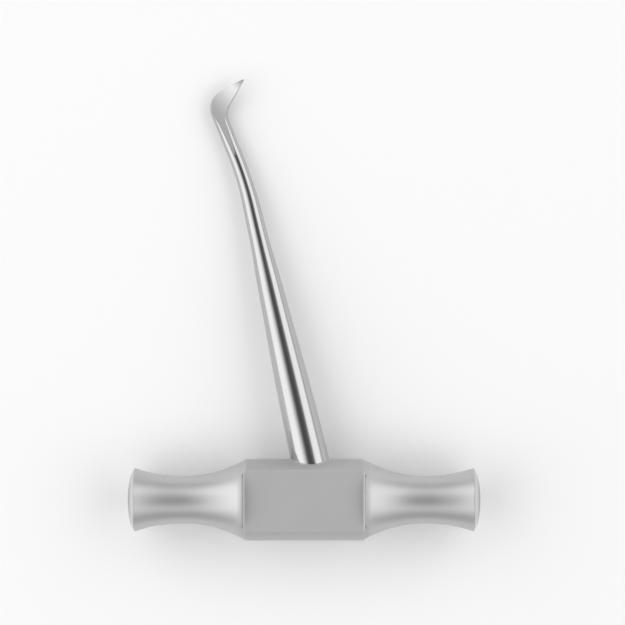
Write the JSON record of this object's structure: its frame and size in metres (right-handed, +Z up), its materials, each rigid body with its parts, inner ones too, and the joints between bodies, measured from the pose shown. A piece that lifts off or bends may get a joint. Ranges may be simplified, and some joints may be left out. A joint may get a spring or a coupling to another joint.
{
  "type": "crossbar dental elevator",
  "caption": "Crossbar dental elevator: waisted T handle with a flat-sided hub, and a leaning tapered shank whose neck bends into a pointed pick blade with a ground face.",
  "frame": {"origin": "on the surface that the instrument lies on, under the middle of its box", "axes": "+X along the handle, +Y from the handle towards the blade, +Z up out of the front of the hub and the blade's ground face"},
  "size_m": [0.0882, 0.115, 0.0192],
  "materials": {
    "satin_steel": "satin, fine matt grain",
    "polished_steel": "polished"
  },
  "bodies": {
    "root": {"handle": "satin_steel", "shank": "polished_steel"}
  },
  "joints": []
}
